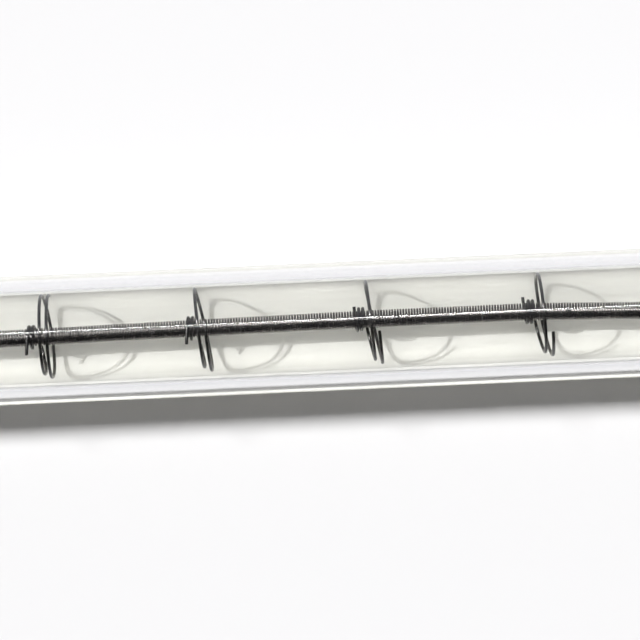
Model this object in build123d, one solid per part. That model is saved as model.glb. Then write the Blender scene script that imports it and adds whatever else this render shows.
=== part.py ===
from build123d import *
import os

# Infrared heat lamp: a quartz tube with a ceramic reflector on its back, a tungsten coil held by wire
# supports, a pinch seal at each end and ceramic caps with recessed contacts. Sizes are in millimetres.
# X runs along the tube and Z points up, out of the clear side. The shapes are built about the tube's
# axis and lifted at the end, so that the origin lies under the middle, on the surface the caps rest on.

# Quartz tube
LAMP_LENGTH = 117.6  # over both caps
TUBE_OD = 10.0
TUBE_WALL = 1.15
SHOULDER_LENGTH = 4.0  # from the round tube to the flat pinch
PINCH_LENGTH = 8.5
PINCH_THICKNESS = 3.0
PRESS_LAND = 0.05  # how far the press stands off the round tube
KNEE_RADIUS = 2.0  # where the shoulder begins and ends

# Exhaust tip, where the tube was filled and sealed
TIP_FROM_SHOULDER = 8.5
TIP_BASE_D = 3.2
TIP_END_D = 1.2
TIP_HEIGHT = 2.0

# Reflector coating on the outside of the tube
COATING_THICKNESS = 0.15
COATING_ARC = 149.0  # degrees of the tube's round that are coated
COATING_TURN = 2.5  # degrees from straight down, towards +Y
COATING_MARGIN = 1.5  # bare tube before each shoulder

# Tungsten coil, whose fine turns fill this sleeve
COIL_OD = 1.40
COIL_WIRE_D = 0.19
COIL_END_GAP = 6.5  # from the coil's end to the shoulder

# Coil supports, wound by hand, one for each row below: how far it sits from its even place along the
# coil, how far it holds the coil off the tube's axis towards +Y, how far the ring's top leans along X,
# how far the cut tail reaches from the coil's axis, on which side (1 is +Y), and how many degrees past
# its last low point the ring ends
SUPPORTS = (
    (0.73, 0.19, -0.30, 1.35, -1, 176.0),
    (-0.10, 0.34, -0.80, 1.20, -1, 100.0),
    (-0.07, 0.45, -0.80, 1.05, 1, 78.0),
    (-0.09, 0.47, -0.65, 1.20, 1, 66.0),
)
SUPPORT_WIRE_D = 0.26
SUPPORT_WIRE_SIDES = 4  # the thin wire's section is a polygon, to keep its faces few
CLAMP_TURNS = 1  # whole turns on the coil, besides the part of a turn that the tail runs into
CLAMP_CLEARANCE = 0.02  # from the coil to the clamp
CLAMP_GAP = 0.06  # between the clamp's turns
RING_CLEARANCE = 0.52  # from the ring to the bore, all round
RING_SHIFT = 0.22  # of the rings towards +Y
RING_PITCH = 0.56
RING_REACH = 0.80  # along X, from the clamp to the ring's first low point
RING_INSET = 0.27  # how far the ring's first low point falls short

# Leads and seal foils
LEAD_CLEARANCE = 0.10  # from the inner lead to the inside of the coil
LEAD_DEPTH = 2.0  # of the inner lead in the coil
FOIL_WIDTH = 2.6
FOIL_THICKNESS = 0.04
FOIL_MARGIN = 1.1  # of quartz past each end of the foil
FOIL_OVERLAP = 1.2  # of each lead on the foil

# Ceramic caps
REST_GAP = 0.25  # from the coating down to the surface that the caps rest on
CAP_SIDE = 0.5  # of the cap past the tube on each side
CAP_BODY_LENGTH = 7.7
CAP_FLOOR = 0.75  # between the slot and the nose
CAP_EDGE = 1.4  # bevel along the block
CAP_END_BEVEL = 1.2  # round the nose
NOSE_D = 7.0
NOSE_LENGTH = 5.8
NOSE_BEVEL = 0.5
CEMENT_GAP = 0.25  # round the pinch and past its end
CEMENT_SINK = 0.3  # from the cap's faces in to the cement

# Contacts
RECESS_D = 4.5
RECESS_DEPTH = 1.7  # from the nose's end in to the contact
CONTACT_D = 3.0
CONTACT_LENGTH = 3.0
CONTACT_CLEARANCE = 0.1  # in the cap's bore

tube_r = TUBE_OD / 2
bore_r = tube_r - TUBE_WALL
pinch_half = PINCH_THICKNESS / 2
cap_height = TUBE_OD + 2 * (COATING_THICKNESS + REST_GAP)
cap_width = TUBE_OD + 2 * CAP_SIDE
slot_height = PINCH_THICKNESS + 2 * CEMENT_GAP
axis_z = cap_height / 2

# Places along X on the +X end, from the outside in
lamp_end = LAMP_LENGTH / 2
contact_face = lamp_end - RECESS_DEPTH
contact_back = contact_face - CONTACT_LENGTH
nose_start = lamp_end - NOSE_LENGTH
cap_mouth = nose_start - CAP_BODY_LENGTH
slot_end = nose_start - CAP_FLOOR
pinch_end = slot_end - CEMENT_GAP
pinch_start = pinch_end - PINCH_LENGTH
bulb_end = pinch_start - SHOULDER_LENGTH
foil_in = pinch_start + FOIL_MARGIN
foil_out = pinch_end - FOIL_MARGIN
coil_end = bulb_end - COIL_END_GAP

coil_r = COIL_OD / 2
coil_bore_r = coil_r - COIL_WIRE_D
lead_r = coil_bore_r - LEAD_CLEARANCE
support_wire_r = SUPPORT_WIRE_D / 2

# Each support's place along X
support_spacing = 2 * coil_end / (len(SUPPORTS) + 1)
placed_supports = []
for number, (drift, *form) in enumerate(SUPPORTS, 1):
    placed_supports.append((number * support_spacing - coil_end + drift, form))


def rod(radius, start, end):
    """A round bar on the tube's axis, from one X to another."""
    return Pos((start + end) / 2, 0, 0) * Rot(0, 90, 0) * Cylinder(radius, end - start)


def mirrored_outline(quarter):
    """A closed outline from the points of its upper right quarter, from the middle outwards."""
    right = [*quarter, *((x, -y) for x, y in reversed(quarter) if y)]
    left = [(-x, -y) for x, y in right]
    return make_face(Polyline(*right, *left, close=True))


def tube_outside():
    """The tube's outer form: round between the shoulders, pressed flat beyond them."""
    high = tube_r + PRESS_LAND
    quarter = ((bulb_end, high), (pinch_start, pinch_half), (pinch_end, pinch_half))
    side = Plane.XZ * mirrored_outline(quarter)
    knees = side.vertices().filter_by(lambda v: abs(v.X) < pinch_end)
    side = fillet(knees, KNEE_RADIUS)
    return rod(tube_r, -pinch_end, pinch_end) & extrude(side, tube_r + PRESS_LAND, both=True)


def tube_inside():
    """The sealed space: the bore, which closes to an edge where the pinch begins."""
    high = bore_r + PRESS_LAND
    slope = (tube_r - pinch_half) / SHOULDER_LENGTH
    quarter = ((pinch_start - high / slope, high), (pinch_start, 0))
    side = Plane.XZ * mirrored_outline(quarter)
    return rod(bore_r, -pinch_start, pinch_start) & extrude(side, tube_r, both=True)


def exhaust_tip():
    """The sealed stub on the clear side, which draws in from the tube to a blunt end."""
    root = tube_r - TUBE_WALL / 2
    height = tube_r + TIP_HEIGHT - root
    stub = Cone(TIP_BASE_D / 2, TIP_END_D / 2, height)
    return Pos(-bulb_end + TIP_FROM_SHOULDER, 0, root + height / 2) * stub


def quartz_tube(buried):
    """The tube with its seals and tip, cut away round the metal that is melted into it."""
    return tube_outside() + exhaust_tip() - tube_inside() - buried


def reflector_coating():
    """The fired layer round the back of the tube."""
    ring = Circle(tube_r + COATING_THICKNESS) - Circle(tube_r)
    beyond = Vector(2 * TUBE_OD, 0, 0)
    turns = [COATING_TURN - 90 + share * COATING_ARC / 2 for share in (-1, 0, 1)]
    wedge = Polyline((0, 0), *(beyond.rotate(Axis.Z, turn) for turn in turns), close=True)
    layer = ring & make_face(wedge)
    length = bulb_end - COATING_MARGIN
    return extrude(Plane.YZ * layer, length, both=True)


def filament():
    """The coil's sleeve, which runs straight from one support to the next."""
    held = [(place - RING_REACH, form[0]) for place, form in placed_supports]
    path = Polyline((-coil_end, 0), *held, (coil_end, 0))
    section = Circle(coil_r) - Circle(coil_bore_r)
    return sweep(Plane(path @ 0, z_dir=path % 0) * section, path=path, transition=Transition.RIGHT)


def half_turn(start, end):
    """Half a turn of wire, in front where it rises. Each is a semicircle, so neighbours meet in line."""
    front = 1 if end.Y > start.Y else -1
    middle = (start + end) / 2 + Vector(0, 0, front * (end - start).length / 2)
    return ThreePointArc(start, middle, end)


def part_of(arc, begin, finish):
    """The stretch of an arc between two shares of its length."""
    return ThreePointArc(arc @ begin, arc @ ((begin + finish) / 2), arc @ finish)


def support(coil_y, lean, tail, tail_side, ring_end):
    """One wire: a cut tail, a clamp wound on the coil, and an open ring that centres it in the bore.

    The ring's first low point is at X = 0.
    """
    clamp_r = coil_r + CLAMP_CLEARANCE + support_wire_r
    clamp_step = (SUPPORT_WIRE_D + CLAMP_GAP) / 2
    ring_r = bore_r - RING_CLEARANCE - support_wire_r

    # The wire's low and high points in turn: those of the clamp, and then those of the ring
    half_turns = 2 * CLAMP_TURNS + (1 if tail_side < 0 else 2)
    points = []
    for i in reversed(range(half_turns + 1)):
        side = 1 if i % 2 == 0 else -1
        points.append(Vector(-RING_REACH - i * clamp_step, coil_y + side * clamp_r, 0))
    points.append(Vector(0, RING_SHIFT - ring_r + RING_INSET, 0))
    points.append(Vector(RING_PITCH / 2 + lean, RING_SHIFT + ring_r, 0))
    points.append(Vector(RING_PITCH, RING_SHIFT - ring_r, 0))
    points.append(Vector(RING_PITCH * 3 / 2 + lean, RING_SHIFT + ring_r, 0))
    arcs = [half_turn(start, end) for start, end in zip(points, points[1:])]

    first = part_of(arcs[0], 0.5, 1)
    last = part_of(arcs[-1], 0, ring_end / 180)
    cut_tail = Line(first @ 0 - (first % 0) * tail, first @ 0)
    path = Wire([cut_tail, first, *arcs[1:-1], last])
    section = RegularPolygon(support_wire_r, SUPPORT_WIRE_SIDES)
    return sweep(Plane(path @ 0, z_dir=path % 0) * section, path=path)


def inner_lead():
    """The rod from inside the coil to the foil."""
    return rod(lead_r, coil_end - LEAD_DEPTH, foil_in + FOIL_OVERLAP)


def outer_lead():
    """The wire from the foil to the back of the contact, where it is welded on end."""
    return rod(lead_r, foil_out - FOIL_OVERLAP, contact_back)


def seal_foil():
    """The thin foil under both leads, in the middle of the pinch."""
    place = Pos((foil_in + foil_out) / 2, 0, -lead_r - FOIL_THICKNESS / 2)
    return place * Box(foil_out - foil_in, FOIL_WIDTH, FOIL_THICKNESS)


def ceramic_cap():
    """A block with a slot for the pinch, and a round nose with a bore and a wider recess."""
    body = Pos((cap_mouth + nose_start) / 2, 0, 0) * Box(CAP_BODY_LENGTH, cap_width, cap_height)
    body = chamfer(body.edges().filter_by(Axis.X), CAP_EDGE)
    body = chamfer(body.faces().sort_by(Axis.X)[-1].edges(), CAP_END_BEVEL)
    nose = rod(NOSE_D / 2, slot_end, lamp_end)
    nose = chamfer(nose.edges().sort_by(Axis.X)[-1], NOSE_BEVEL)
    slot_length = slot_end - cap_mouth
    slot = Pos(cap_mouth + slot_length / 2, 0, 0) * Box(slot_length, cap_width, slot_height)
    contact_bore = rod(CONTACT_D / 2 + CONTACT_CLEARANCE, slot_end, contact_face)
    recess = rod(RECESS_D / 2, contact_face, lamp_end)
    return body + nose - slot - contact_bore - recess


def cap_cement(pinch):
    """The set cement that fills the slot round the pinch."""
    start = cap_mouth + CEMENT_SINK
    length = pinch_end - start
    fill = Pos(start + length / 2, 0, 0) * Box(length, cap_width - 2 * CEMENT_SINK, slot_height)
    return fill - pinch


def contact():
    """The metal plug in the nose's bore, level with the floor of the recess."""
    return rod(CONTACT_D / 2, contact_back, contact_face)


turned_round = Rot(0, 0, 180)
metal = {"inner_lead": inner_lead(), "seal_foil": seal_foil(), "outer_lead": outer_lead()}
right_metal = metal["inner_lead"] + metal["seal_foil"] + metal["outer_lead"]

parts = {
    "quartz_tube": quartz_tube(right_metal + turned_round * right_metal),
    "reflector_coating": reflector_coating(),
    "filament": filament(),
}

for number, (place, form) in enumerate(placed_supports, 1):
    parts[f"support_{number}"] = Pos(place, 0, 0) * support(*form)

ends = {
    **metal,
    "ceramic_cap": ceramic_cap(),
    "cap_cement": cap_cement(tube_outside()),
    "contact": contact(),
}
for name, shape in ends.items():
    parts[f"{name}_right"] = shape
    parts[f"{name}_left"] = turned_round * shape

os.makedirs("parts", exist_ok=True)
for name, shape in parts.items():
    export_step(Pos(0, 0, axis_z) * shape, f"parts/{name}.step")
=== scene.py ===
import math

import bmesh
import bpy
from mathutils import Matrix, Vector


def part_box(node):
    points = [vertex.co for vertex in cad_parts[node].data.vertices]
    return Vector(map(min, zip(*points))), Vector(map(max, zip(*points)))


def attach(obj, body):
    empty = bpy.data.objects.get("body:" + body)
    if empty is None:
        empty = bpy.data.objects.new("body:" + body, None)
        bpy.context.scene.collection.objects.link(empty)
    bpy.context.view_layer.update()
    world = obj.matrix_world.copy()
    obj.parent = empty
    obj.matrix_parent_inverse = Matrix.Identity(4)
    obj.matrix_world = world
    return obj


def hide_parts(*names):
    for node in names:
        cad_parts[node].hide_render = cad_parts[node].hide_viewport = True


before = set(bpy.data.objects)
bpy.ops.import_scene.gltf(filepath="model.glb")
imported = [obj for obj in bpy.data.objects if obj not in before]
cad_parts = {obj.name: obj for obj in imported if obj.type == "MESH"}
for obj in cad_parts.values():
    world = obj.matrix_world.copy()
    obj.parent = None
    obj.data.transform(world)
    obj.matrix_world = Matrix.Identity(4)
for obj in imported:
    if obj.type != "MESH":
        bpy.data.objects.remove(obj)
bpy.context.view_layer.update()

# Infrared heat lamp lying on its caps, seen from straight above. Sizes are in metres.
MM = 0.001

# How near an edge lies to a place to count as there, and how near two points lie to be merged
NEAR = 0.01 * MM
MERGE = 0.0005 * MM
SMOOTH_ANGLE = math.radians(32)  # edges that turn by less are shaded smooth

# Quartz tube
TUBE_WALL = 1.15 * MM
SHOULDER = 4.0 * MM
PINCH = 8.5 * MM
PINCH_HALF = 1.5 * MM
PRESS_LAND = 0.05 * MM
KNEE = 0.76 * MM  # how far the rounding of each knee reaches
KNEE_STEPS = 10
HOLLOW_EDGE = 0.02 * MM  # half the height at which the hollow runs out
TUBE_SIDES = 256
BAR_CUT = 37.0 * MM  # rings cut into the round bars, past the coating's ends and beside the tip
TIP_CUT = 2.2 * MM
TIP_PLACE = -31.0 * MM
TIP_BASE = 1.6 * MM
TIP_END = 0.6 * MM
TIP_ROUND = 0.8 * TIP_END
TIP_ROUND_STEPS = 8
TIP_SIDES = 64

# Reflector coating. Lamps shine straight through the quartz here, so the inner face is sunk into it to where
# straight rays throw the supports' shadows as bent rays do in the photograph
COATING_ARC = math.radians(149)
COATING_TURN = math.radians(2.5)
COATING_SINK = 1.0 * MM
COATING_STEPS = 120

# Tungsten coil
COIL_WIRE = 0.158 * MM
COIL_PITCH = 0.216 * MM
COIL_SIDES = 8
COIL_STEPS = 24  # in each turn
FAN_HEIGHT = 193 * MM  # the turns lean, and their planes meet this far above the coil
FAN_PLACE = -6.6 * MM  # and at this place along X

# Coil supports: how far each holds the coil off the axis towards +Y, its ring's place along X, the
# ring's lean, the reach of its cut tail and the side where the tail starts, and the ring's last angle
SUPPORTS = (
    (0.19, -19.07, -0.30, 1.35, -1, 176),
    (0.34, -6.70, -0.80, 1.20, -1, 100),
    (0.45, 6.53, -0.80, 1.05, 1, 78),
    (0.47, 19.71, -0.65, 1.20, 1, 66),
)
WIRE = 0.26 * MM
WIRE_SIDES = 14
WIRE_STEP = 6  # degrees
CLAMP_CLEARANCE = 0.02 * MM
CLAMP_GAP = 0.06 * MM
RING_CLEARANCE = 0.52 * MM
RING_SHIFT = 0.22 * MM
RING_PITCH = 0.56 * MM
RING_REACH = 0.80 * MM
RING_INSET = 0.27 * MM

# Rounding of the ceramic caps' edges
CAP_ROUND = 0.35 * MM
CAP_ROUND_STEPS = 3
CAP_MERGE = 0.001 * MM
CAP_EDGE_ANGLE = math.radians(35)  # edges that turn by more are rounded

# Table top, in metres, just below the part
FLOOR_SIZE = 6.0
FLOOR_DROP = 0.02 * MM

# Photograph's view
VIEW_CENTRE = Vector((2.385 * MM, 0.55 * MM))
VIEW_DISTANCE = 193 * MM
VIEW_LENS = 139.6
VIEW_ROLL = math.radians(-2.55)

_, tube_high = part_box("quartz_tube")
cap_low, cap_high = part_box("ceramic_cap_right")
coat_low, coat_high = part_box("reflector_coating")
coil_low, coil_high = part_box("filament")
axis = Vector((0, 0, (cap_low.z + cap_high.z) / 2))
tube_r = tube_high.y
bore_r = tube_r - TUBE_WALL
pinch_end = tube_high.x
pinch_start = pinch_end - PINCH
bulb_end = pinch_start - SHOULDER
tip_top = tube_high.z - axis.z
coat_end = coat_high.x
coat_r = axis.z - coat_low.z
coil_r = (coil_high.z - coil_low.z) / 2
coil_end = coil_high.x


class Value:
    """A shader socket that can be used in sums."""

    def __init__(self, finish, socket):
        self.finish = finish
        self.socket = socket

    def maths(self, operation, *terms):
        made = self.finish.node("ShaderNodeMath", {"operation": operation}, dict(enumerate(terms)))
        return made["Value"]

    def __add__(self, other):
        return self.maths("ADD", self, other)

    def __radd__(self, other):
        return self.maths("ADD", other, self)

    def __sub__(self, other):
        return self.maths("SUBTRACT", self, other)

    def __rsub__(self, other):
        return self.maths("SUBTRACT", other, self)

    def __mul__(self, other):
        return self.maths("MULTIPLY", self, other)

    def __rmul__(self, other):
        return self.maths("MULTIPLY", other, self)


class Made:
    """A node's outputs, by name."""

    def __init__(self, finish, node):
        self.finish = finish
        self.node = node

    def __getitem__(self, name):
        return Value(self.finish, self.node.outputs[name])


class Finish:
    """A material, or the world, made of nodes."""

    def __init__(self, owner):
        owner.use_nodes = True
        self.owner = owner
        self.tree = owner.node_tree
        self.tree.nodes.clear()

    def node(self, kind, settings=None, sockets=None):
        """Makes a node, then sets what it is like, then what goes into its sockets."""
        made = self.tree.nodes.new(kind)
        for name, setting in (settings or {}).items():
            if name == "stops":
                self.stops(made.color_ramp, setting)
            else:
                setattr(made, name, setting)
        for name, given in (sockets or {}).items():
            if isinstance(given, Value):
                self.tree.links.new(given.socket, made.inputs[name])
            else:
                made.inputs[name].default_value = given
        return Made(self, made)

    @staticmethod
    def stops(ramp, stops):
        while len(ramp.elements) < len(stops):
            ramp.elements.new(1)
        for element, (place, colour) in zip(ramp.elements, stops):
            element.position = place
            element.color = (*colour, 1)

    def place(self):
        return self.node("ShaderNodeTexCoord")["Object"]

    def noise(self, size, detail=3, roughness=0.5, stretch=(1, 1, 1)):
        """Noise whose blotches are about this size."""
        scale = [axis_stretch / size for axis_stretch in stretch]
        mapped = self.node("ShaderNodeMapping", {}, {"Vector": self.place(), "Scale": scale})
        sockets = {"Vector": mapped["Vector"], "Scale": 1, "Detail": detail, "Roughness": roughness}
        return self.node("ShaderNodeTexNoise", {}, sockets)["Fac"]

    def ramp(self, factor, *stops):
        return self.node("ShaderNodeValToRGB", {"stops": stops}, {"Fac": factor})["Color"]

    def bump(self, height, distance, strength=1.0):
        sockets = {"Height": height, "Distance": distance, "Strength": strength}
        return self.node("ShaderNodeBump", {}, sockets)["Normal"]

    def surface(self, sockets):
        return self.node("ShaderNodeBsdfPrincipled", {}, sockets)["BSDF"]

    def show(self, shader):
        self.node("ShaderNodeOutputMaterial", {}, {"Surface": shader})
        return self.owner


def new_finish(name):
    return Finish(bpy.data.materials.new(name))


def quartz_finish():
    """Clear quartz that lets lamps through, with faint drawing lines along the tube."""
    finish = new_finish("quartz")
    lines = finish.noise(0.25 * MM, detail=2, stretch=(0.004, 1, 1))
    clear = finish.surface({
        "Base Color": (0.86, 0.865, 0.88, 1),
        "Roughness": 0.0,
        "IOR": 1.458,
        "Transmission Weight": 1.0,
        "Normal": finish.bump(lines, 0.002 * MM, 0.05),
    })
    through = finish.node("ShaderNodeBsdfTransparent")["BSDF"]
    ray = finish.node("ShaderNodeLightPath")["Is Shadow Ray"]
    return finish.show(finish.node("ShaderNodeMixShader", {}, {0: ray, 1: clear, 2: through})["Shader"])


def reflector_finish():
    """Ivory ceramic, sprayed on and fired: fine grain and faint clouds."""
    finish = new_finish("reflector")
    clouds = finish.noise(5 * MM, detail=4, stretch=(0.6, 1, 1))
    grain = finish.noise(0.12 * MM, detail=4, roughness=0.65)
    tone = 0.65 * clouds + 0.35 * grain
    return finish.show(finish.surface({
        "Base Color": finish.ramp(tone, (0.25, (0.81, 0.8, 0.733)), (0.75, (0.86, 0.85, 0.785))),
        "Roughness": 0.9 - 0.15 * grain,
        "Specular IOR Level": 0.25,
        "Normal": finish.bump(grain, 0.02 * MM, 0.4),
    }))


def drawn_metal(name, dark, light, rough, streak):
    """Drawn wire: streaks along X and small dull patches."""
    finish = new_finish(name)
    streaks = finish.noise(streak, detail=4, stretch=(0.2, 1, 1))
    patches = finish.noise(8 * streak, detail=3)
    return finish.show(finish.surface({
        "Base Color": finish.ramp(0.5 * streaks + 0.5 * patches, (0.3, dark), (0.7, light)),
        "Metallic": 1.0,
        "Roughness": rough + 0.1 * (patches - 0.5),
        "Normal": finish.bump(streaks, 0.1 * streak, 0.05),
    }))


def ceramic_finish():
    """Pressed off-white ceramic: fine pits, faint specks and a dull sheen."""
    finish = new_finish("ceramic")
    clouds = finish.noise(3 * MM, detail=3)
    grain = finish.noise(0.15 * MM, detail=5, roughness=0.7)
    specks = finish.ramp(finish.noise(0.4 * MM, detail=2), (0.69, (0, 0, 0)), (0.74, (1, 1, 1)))
    body = finish.ramp(0.7 * clouds + 0.3 * grain, (0.3, (0.74, 0.71, 0.63)), (0.7, (0.84, 0.82, 0.75)))
    mixed = finish.node(
        "ShaderNodeMix", {"data_type": "RGBA"}, {0: 0.12 * specks, 6: body, 7: (0.35, 0.3, 0.24, 1)}
    )
    return finish.show(finish.surface({
        "Base Color": Value(finish, mixed.node.outputs[2]),
        "Roughness": 0.5 + 0.25 * grain,
        "Normal": finish.bump(grain, 0.03 * MM, 0.5),
    }))


def cement_finish():
    """Grey-white set cement, gritty and uneven."""
    finish = new_finish("cement")
    grit = finish.noise(0.2 * MM, detail=6, roughness=0.75)
    lumps = finish.noise(1.2 * MM, detail=3)
    return finish.show(finish.surface({
        "Base Color": finish.ramp(grit, (0.3, (0.45, 0.43, 0.38)), (0.7, (0.68, 0.66, 0.6))),
        "Roughness": 0.95 - 0.1 * grit,
        "Normal": finish.bump(grit + lumps, 0.12 * MM, 0.8),
    }))


def contact_finish():
    """Nickel with turning marks and worn, duller patches."""
    finish = new_finish("contact")
    split = finish.node("ShaderNodeSeparateXYZ", {}, {"Vector": finish.place()})
    across = split["Y"]
    up = split["Z"] - axis.z
    square = across * across + up * up
    radius = square.maths("SQRT", square)
    rings = finish.node("ShaderNodeTexWave", {"bands_direction": "X"}, {
        "Vector": finish.node("ShaderNodeCombineXYZ", {}, {"X": radius})["Vector"],
        "Scale": 2.0 / MM,
        "Distortion": 0.6,
    })["Fac"]
    wear = finish.noise(0.6 * MM, detail=4)
    return finish.show(finish.surface({
        "Base Color": finish.ramp(wear, (0.3, (0.42, 0.39, 0.34)), (0.7, (0.62, 0.59, 0.53))),
        "Metallic": 1.0,
        "Roughness": 0.28 + 0.3 * wear,
        "Normal": finish.bump(rings, 0.01 * MM, 0.3),
    }))


def edit(piece):
    """Opens one piece for editing, with nothing else selected."""
    bpy.ops.object.select_all(action="DESELECT")
    piece.select_set(True)
    bpy.context.view_layer.objects.active = piece
    bpy.ops.object.mode_set(mode="EDIT")


def close():
    bpy.ops.object.mode_set(mode="OBJECT")


def pick_faces(piece, wanted):
    """Selects the faces of the piece in hand that are wanted, by their place or normal."""
    bpy.ops.mesh.select_mode(type="FACE")
    bpy.ops.mesh.select_all(action="DESELECT")
    mesh = bmesh.from_edit_mesh(piece.data)
    for face in mesh.faces:
        face.select_set(wanted(face))
    bmesh.update_edit_mesh(piece.data)


def pick_edges(piece, wanted):
    """Selects the edges of the piece in hand that are wanted, by their two ends."""
    bpy.ops.mesh.select_mode(type="EDGE")
    bpy.ops.mesh.select_all(action="DESELECT")
    mesh = bmesh.from_edit_mesh(piece.data)
    for edge in mesh.edges:
        edge.select_set(wanted(edge.verts[0].co, edge.verts[1].co))
    bmesh.update_edit_mesh(piece.data)


def move_all(piece, step):
    edit(piece)
    bpy.ops.mesh.select_all(action="SELECT")
    bpy.ops.transform.translate(value=step)
    close()


def fix_place():
    """Puts the place, turn and scale of the piece in hand into its mesh."""
    bpy.ops.object.transform_apply(location=True, rotation=True, scale=True)


def apply_modifier(piece, name, kind, **settings):
    bpy.ops.object.select_all(action="DESELECT")
    piece.select_set(True)
    bpy.context.view_layer.objects.active = piece
    modifier = piece.modifiers.new(name, kind)
    for setting, given in settings.items():
        setattr(modifier, setting, given)
    bpy.ops.object.modifier_apply(modifier=modifier.name)


def cut_with(piece, tool, operation):
    """Joins, cuts or trims a piece with another, which is used up."""
    apply_modifier(piece, "cut", "BOOLEAN", object=tool, operation=operation, solver="EXACT")
    bpy.data.objects.remove(tool)


def outward(piece):
    edit(piece)
    bpy.ops.mesh.select_all(action="SELECT")
    bpy.ops.mesh.remove_doubles(threshold=MERGE)
    bpy.ops.mesh.normals_make_consistent(inside=False)
    close()


def keep(piece, name, material, slot, *nodes):
    """Names a finished piece, gives it its finish and puts it in the place of its plain solids."""
    piece.name = name
    piece.data.name = name
    piece.data.materials.clear()
    piece.data.materials.append(material)
    bpy.ops.object.select_all(action="DESELECT")
    piece.select_set(True)
    bpy.context.view_layer.objects.active = piece
    bpy.ops.object.shade_smooth_by_angle(angle=SMOOTH_ANGLE)
    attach(piece, "root")
    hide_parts(*nodes)


def turn(angle, steps, centre, along):
    """Spins what is selected round a line by the right-hand rule, which the operator goes against."""
    bpy.ops.mesh.spin(steps=steps, angle=-angle, center=centre, axis=along)


def press_block(width, steps):
    """A long block whose flat top and bottom step in towards both ends."""
    reach, height = steps[0]
    bpy.ops.mesh.primitive_cube_add(size=2, scale=(reach, width, height))
    fix_place()
    block = bpy.context.object
    edit(block)
    for side in (1, -1):
        for (start, high), (end, low) in zip(steps, steps[1:]):
            pick_faces(block, lambda face: face.normal.x * side > 0.9)
            step = (side * (end - start), 0, 0)
            bpy.ops.mesh.extrude_region_move(TRANSFORM_OT_translate={"value": step})
            bpy.ops.transform.resize(value=(1, 1, low / high), center_override=(0, 0, 0))
    close()
    return block


def round_knees(block, places):
    """Rounds the block's edges that run across it at these places along X."""
    def is_knee(a, b):
        at_knee = any(abs(abs(a.x) - place) < NEAR for place in places)
        return at_knee and abs(a.x - b.x) < NEAR and abs(a.z - b.z) < NEAR

    edit(block)
    pick_edges(block, is_knee)
    bpy.ops.mesh.bevel(offset=KNEE, offset_type="OFFSET", segments=KNEE_STEPS, profile=0.5)
    close()


def round_bar(radius, reach):
    """A round bar, cut into rings so that what happens at one place doesn't bend the light at another."""
    bpy.ops.mesh.primitive_cylinder_add(
        vertices=TUBE_SIDES, radius=radius, depth=2 * reach, rotation=(0, math.pi / 2, 0)
    )
    fix_place()
    bar = bpy.context.object
    edit(bar)
    for place in (-BAR_CUT, TIP_PLACE - TIP_CUT, TIP_PLACE + TIP_CUT, BAR_CUT):
        bpy.ops.mesh.select_all(action="SELECT")
        bpy.ops.mesh.bisect(plane_co=(place, 0, 0), plane_no=(1, 0, 0))
    close()
    return bar


def exhaust_tip():
    """The sealed stub on the clear side, drawn in from the tube and rounded at its end."""
    root = tube_r - TUBE_WALL / 2
    height = tip_top - root
    bpy.ops.mesh.primitive_cone_add(
        vertices=TIP_SIDES, radius1=TIP_BASE, radius2=TIP_END, depth=height,
        location=(TIP_PLACE, 0, root + height / 2),
    )
    fix_place()
    tip = bpy.context.object
    edit(tip)
    pick_edges(tip, lambda a, b: min(a.z, b.z) > tip_top - NEAR)
    bpy.ops.mesh.bevel(offset=TIP_ROUND, offset_type="OFFSET", segments=TIP_ROUND_STEPS, profile=0.5)
    close()
    return tip


def quartz_tube(material):
    """The tube, pressed flat at both ends, with its hollow and its tip."""
    high = tube_r + PRESS_LAND
    steps = ((bulb_end, high), (pinch_start, PINCH_HALF), (pinch_end, PINCH_HALF))
    press = press_block(high, steps)
    round_knees(press, (bulb_end, pinch_start))
    tube = round_bar(tube_r, pinch_end)
    cut_with(tube, press, "INTERSECT")

    inner_high = bore_r + PRESS_LAND
    slope = (tube_r - PINCH_HALF) / SHOULDER
    inner_steps = ((pinch_start - inner_high / slope, inner_high), (pinch_start, HOLLOW_EDGE))
    wedge = press_block(high, inner_steps)
    bore = round_bar(bore_r, pinch_start)
    cut_with(bore, wedge, "INTERSECT")

    cut_with(tube, exhaust_tip(), "UNION")
    cut_with(tube, bore, "DIFFERENCE")
    move_all(tube, axis)
    keep(tube, "quartz_tube_clear", material, "quartz", "quartz_tube")


def reflector_coating(material):
    """The fired layer, a thin strip spun round the back of the tube."""
    inner = tube_r - COATING_SINK
    depth = coat_r - inner
    start = COATING_TURN - math.pi / 2 - COATING_ARC / 2
    bpy.ops.mesh.primitive_plane_add(size=1, location=(0, inner + depth / 2, 0))
    layer = bpy.context.object
    layer.scale = (2 * coat_end, depth, 1)
    fix_place()
    layer.rotation_euler.x = start
    fix_place()
    edit(layer)
    bpy.ops.mesh.select_all(action="SELECT")
    turn(COATING_ARC, COATING_STEPS, (0, 0, 0), (1, 0, 0))
    close()
    outward(layer)
    move_all(layer, axis)
    keep(layer, "reflector_layer", material, "reflector", "reflector_coating")


def coil_path():
    """The line that the coil follows: straight from one support's clamp to the next."""
    points = [Vector((-coil_end, 0, 0))]
    for coil_y, place, *_ in SUPPORTS:
        points.append(Vector((place * MM - RING_REACH, coil_y * MM, 0)))
    points.append(Vector((coil_end, 0, 0)))
    line = bpy.data.curves.new("coil_path", "CURVE")
    line.dimensions = "3D"
    spline = line.splines.new("POLY")
    spline.points.add(len(points) - 1)
    for point, place in zip(spline.points, points):
        point.co = (*place, 1)
    path = bpy.data.objects.new("coil_path", line)
    bpy.context.collection.objects.link(path)
    return path


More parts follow.
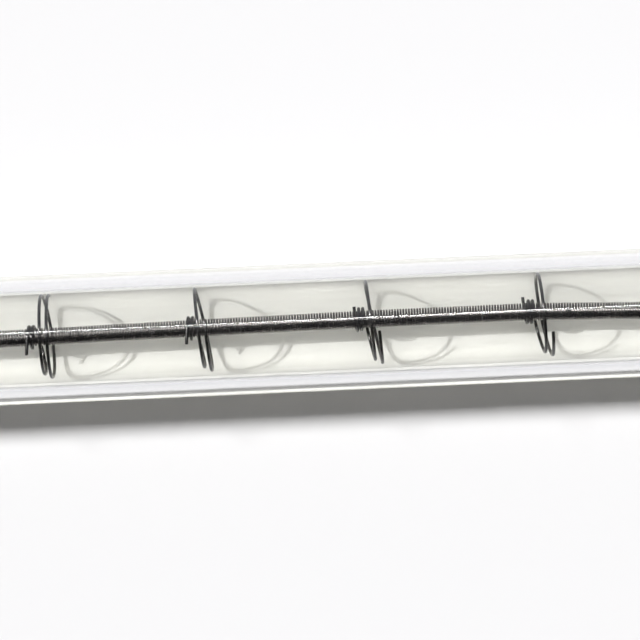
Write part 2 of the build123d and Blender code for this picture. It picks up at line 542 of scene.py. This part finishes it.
def filament(material):
    """Fine wire wound round the axis, turn beside turn, then laid along the path and fanned."""
    wound_r = coil_r - COIL_WIRE / 2
    bpy.ops.mesh.primitive_circle_add(vertices=COIL_SIDES, radius=COIL_WIRE / 2, location=(0, wound_r, 0))
    fix_place()
    coil = bpy.context.object
    turns = int((2 * coil_end - COIL_WIRE) / COIL_PITCH)
    apply_modifier(
        coil, "wind", "SCREW", axis="X", angle=2 * math.pi, screw_offset=COIL_PITCH, iterations=turns,
        steps=COIL_STEPS, render_steps=COIL_STEPS, use_merge_vertices=False,
    )
    path = coil_path()
    apply_modifier(coil, "lay", "CURVE", object=path, deform_axis="POS_X")
    bpy.data.objects.remove(path)
    move_all(coil, (-FAN_PLACE, 0, 0))
    apply_modifier(
        coil, "fan", "SIMPLE_DEFORM", deform_method="TAPER", deform_axis="Z", lock_y=True,
        factor=-2 * coil_r / FAN_HEIGHT,
    )
    edit(coil)
    bpy.ops.mesh.select_all(action="SELECT")
    bpy.ops.mesh.normals_make_consistent(inside=False)
    close()
    move_all(coil, axis + Vector((FAN_PLACE, 0, 0)))
    keep(coil, "filament_coil", material, "tungsten", "filament")


def turn_line(start, end):
    """The line that the wire winds round from a low point to a high one, in front, or back behind."""
    low, high = sorted((start, end), key=lambda point: point.y)
    return (low + high) / 2, Vector((0, 0, 1)).cross(high - low).normalized()


def support_points(coil_y, place, lean, tail_side):
    """The wire's low and high points in turn: those of the clamp, and then those of the ring."""
    clamp_r = coil_r + CLAMP_CLEARANCE + WIRE / 2
    ring_r = bore_r - RING_CLEARANCE - WIRE / 2
    clamp_step = (WIRE + CLAMP_GAP) / 2
    half_turns = 3 if tail_side < 0 else 4
    points = []
    for i in reversed(range(half_turns + 1)):
        side = 1 if i % 2 == 0 else -1
        points.append(Vector((place - RING_REACH - i * clamp_step, coil_y + side * clamp_r, 0)))
    points.append(Vector((place, RING_SHIFT - ring_r + RING_INSET, 0)))
    points.append(Vector((place + RING_PITCH / 2 + lean, RING_SHIFT + ring_r, 0)))
    points.append(Vector((place + RING_PITCH, RING_SHIFT - ring_r, 0)))
    points.append(Vector((place + RING_PITCH * 3 / 2 + lean, RING_SHIFT + ring_r, 0)))
    return points


def support(number, row, material):
    """One wire: a cut tail, a clamp wound on the coil, and an open ring that centres it."""
    coil_y, place, lean, tail, tail_side, ring_end = row
    points = support_points(coil_y * MM, place * MM, lean * MM, tail_side)
    lines = [turn_line(start, end) for start, end in zip(points, points[1:])]
    angles = [90, *[180] * (len(lines) - 2), ring_end]

    centre, along = lines[0]
    away = (points[0] - points[1]).normalized()
    quarter = Matrix.Rotation(math.pi / 2, 3, along)
    begin = centre + quarter @ (points[0] - centre)
    bpy.ops.mesh.primitive_circle_add(vertices=WIRE_SIDES, radius=WIRE / 2, fill_type="NGON")
    wire = bpy.context.object
    facing = (-away).to_track_quat("Z", "X").to_matrix().to_4x4()
    wire.matrix_world = Matrix.Translation(begin + away * tail * MM) @ facing
    fix_place()
    edit(wire)
    bpy.ops.mesh.select_all(action="SELECT")
    bpy.ops.mesh.extrude_region_move(TRANSFORM_OT_translate={"value": -away * tail * MM})
    for (centre, along), angle in zip(lines, angles):
        turn(math.radians(angle), round(angle / WIRE_STEP), centre, along)
    close()
    outward(wire)
    move_all(wire, axis)
    keep(wire, f"support_wire_{number}", material, "support_wire", f"support_{number}")


def dress(node, material):
    """Gives a plain solid its finish."""
    solid = bpy.data.objects[node]
    solid.data.materials.clear()
    solid.data.materials.append(material)


def round_edges(node, width):
    """Rounds a solid's edges for the eye."""
    solid = bpy.data.objects[node]
    weld = solid.modifiers.new("weld", "WELD")
    weld.merge_threshold = CAP_MERGE
    rounding = solid.modifiers.new("round", "BEVEL")
    rounding.width = width
    rounding.segments = CAP_ROUND_STEPS
    rounding.limit_method = "ANGLE"
    rounding.angle_limit = CAP_EDGE_ANGLE
    rounding.harden_normals = True


def floor():
    """A white table top, far wider than the view."""
    bpy.ops.mesh.primitive_plane_add(size=FLOOR_SIZE, location=(0, 0, -FLOOR_DROP))
    top = bpy.context.object
    top.name = "floor"
    finish = new_finish("floor")
    top.data.materials.append(finish.show(finish.surface({
        "Base Color": (0.7, 0.695, 0.698, 1),
        "Roughness": 0.9,
        "Specular IOR Level": 0.0,
    })))


def hang(light, towards, distance, power, state, names):
    """Aims a lamp at the middle of the tube. It lights the named objects alone, or all the others."""
    light.energy = power
    holder = bpy.data.objects.new(light.name, light)
    bpy.context.collection.objects.link(holder)
    direction = Vector(towards).normalized()
    holder.location = axis + direction * distance
    holder.rotation_euler = direction.to_track_quat("Z", "Y").to_euler()
    lit = bpy.data.collections.new(f"{light.name}_lit")
    for name in names:
        lit.objects.link(bpy.data.objects[name])
    for member in lit.collection_objects:
        member.light_linking.link_state = state
    holder.light_linking.receiver_collection = lit


def lamp(name, towards, distance, size, power, state, names):
    """A flat lamp."""
    light = bpy.data.lights.new(name, "AREA")
    light.shape = "RECTANGLE"
    light.size, light.size_y = size
    hang(light, towards, distance, power, state, names)


def far_lamp(name, towards, spread, power, state, names):
    """A lamp so far off that it lights a wide floor evenly."""
    light = bpy.data.lights.new(name, "SUN")
    light.angle = spread
    hang(light, towards, 1.0, power, state, names)


def surroundings():
    """A pale room, darker towards the side that faces -Y."""
    world = bpy.data.worlds.new("room")
    bpy.context.scene.world = world
    finish = Finish(world)
    direction = finish.node("ShaderNodeTexCoord")["Generated"]
    split = finish.node("ShaderNodeSeparateXYZ", {}, {"Vector": direction})
    side = 0.5 + 0.5 * split["Y"]
    colour = finish.ramp(
        side, (0.46, (0.015, 0.015, 0.016)), (0.54, (0.16, 0.16, 0.168)), (0.9, (0.46, 0.47, 0.495))
    )
    back = finish.node("ShaderNodeBackground", {}, {"Color": colour, "Strength": 1.0})["Background"]
    finish.node("ShaderNodeOutputWorld", {}, {"Surface": back})


def camera():
    """Straight above the tube, with the photograph's slight turn."""
    view = bpy.data.cameras.new("camera")
    view.lens = VIEW_LENS
    view.clip_start = 0.01
    holder = bpy.data.objects.new("camera", view)
    bpy.context.collection.objects.link(holder)
    holder.location = (*VIEW_CENTRE, axis.z + VIEW_DISTANCE)
    holder.rotation_euler = (0, 0, VIEW_ROLL)
    bpy.context.scene.camera = holder


bpy.ops.object.select_all(action="DESELECT")
bpy.context.scene.view_settings.view_transform = "Standard"

quartz_tube(quartz_finish())
reflector_coating(reflector_finish())
filament(drawn_metal("tungsten", (0.11, 0.1, 0.094), (0.24, 0.222, 0.21), 0.26, 0.05 * MM))
support_metal = drawn_metal("support_wire", (0.08, 0.077, 0.074), (0.18, 0.174, 0.168), 0.2, 0.05 * MM)
for number, row in enumerate(SUPPORTS, 1):
    support(number, row, support_metal)

lead_metal = drawn_metal("molybdenum", (0.34, 0.34, 0.34), (0.58, 0.57, 0.56), 0.32, 0.08 * MM)
ceramic = ceramic_finish()
cement = cement_finish()
nickel = contact_finish()
for end in ("left", "right"):
    for metal in ("inner_lead", "seal_foil", "outer_lead"):
        dress(f"{metal}_{end}", lead_metal)
    dress(f"ceramic_cap_{end}", ceramic)
    round_edges(f"ceramic_cap_{end}", CAP_ROUND)
    dress(f"cap_cement_{end}", cement)
    dress(f"contact_{end}", nickel)

floor()
wires = ["filament_coil"] + [f"support_wire_{number}" for number in range(1, len(SUPPORTS) + 1)]
lamp(
    "key", towards=(-0.93, 0.28, 1.0), distance=1.0, size=(0.015, 0.015), power=5.0,
    state="EXCLUDE", names=["floor"],
)
lamp(
    "strip", towards=(0.0, 0.24, 1.0), distance=0.5, size=(0.5, 0.01), power=0.55,
    state="EXCLUDE", names=["floor", "reflector_layer"],
)
lamp(
    "fill", towards=(0.0, -1.0, 0.26), distance=0.5, size=(0.6, 0.2), power=1.7,
    state="EXCLUDE", names=["floor", "quartz_tube_clear", *wires],
)
lamp(
    "soft", towards=(0.0, 0.1, 1.0), distance=0.5, size=(0.6, 0.6), power=2.45,
    state="INCLUDE", names=["reflector_layer"],
)
far_lamp(
    "floor_soft", towards=(-0.3, 0.72, 1.0), spread=math.radians(16.8), power=4.85,
    state="INCLUDE", names=["floor"],
)
surroundings()
camera()
